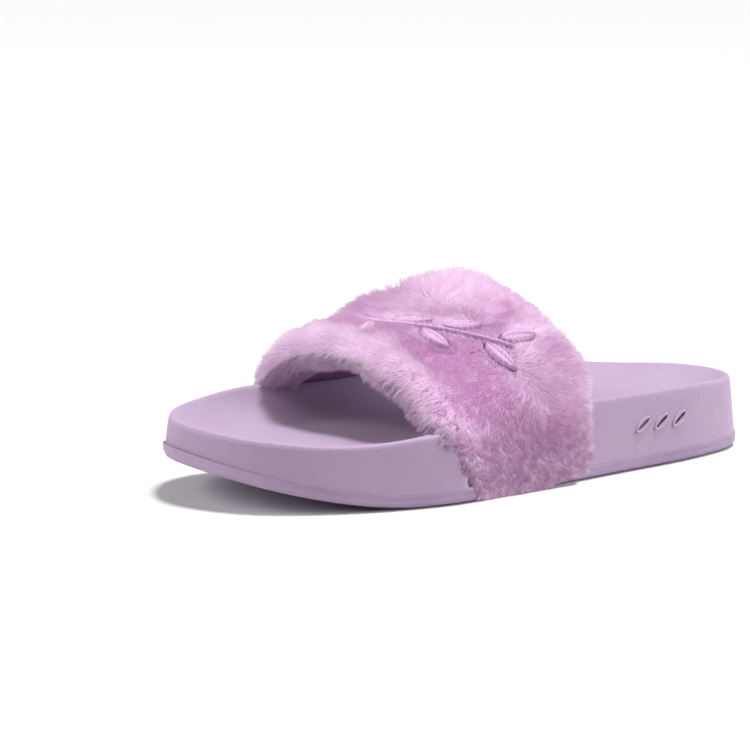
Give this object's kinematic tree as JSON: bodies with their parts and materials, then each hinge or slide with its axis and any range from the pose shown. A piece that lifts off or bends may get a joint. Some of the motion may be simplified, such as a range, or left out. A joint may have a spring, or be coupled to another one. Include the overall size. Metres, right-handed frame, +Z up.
{
  "type": "fluffy house slipper",
  "caption": "Open-toe, open-heel house slide with a moulded foam footbed, a rubbery outsole and one wide plush fur strap over the instep.",
  "frame": {"origin": "on the ground plane, under the middle of the sole's length", "axes": "+Z up, -Y towards the toes, +Y towards the heel, +X towards the outer side of the foot (left foot)"},
  "size_m": [0.1135, 0.2581, 0.08],
  "materials": {
    "outsole_foam": "matt moulded, fine grain",
    "sole_foam": "matt moulded foam, soft skin",
    "lining_knit": "fine brushed knit",
    "reinforcement_web": "plain woven",
    "padding_foam": "open-cell foam",
    "plush_fur": "long soft pile with frosted tips",
    "seam_thread": "twisted thread",
    "embroidery_thread": "satin stitch, slight gloss"
  },
  "bodies": {
    "root": {"outsole": "outsole_foam", "midsole_footbed": "sole_foam", "strap_lining": "lining_knit", "strap_reinforcement": "reinforcement_web", "strap_foam": "padding_foam", "fur_shell": "plush_fur", "front_edge_stitching": "seam_thread", "rear_edge_stitching": "seam_thread", "embroidery_stem": "embroidery_thread", "embroidery_leaf_1": "embroidery_thread", "embroidery_leaf_2": "embroidery_thread", "embroidery_leaf_3": "embroidery_thread", "embroidery_leaf_4": "embroidery_thread", "embroidery_leaf_5": "embroidery_thread", "embroidery_leaf_6": "embroidery_thread"}
  },
  "joints": []
}
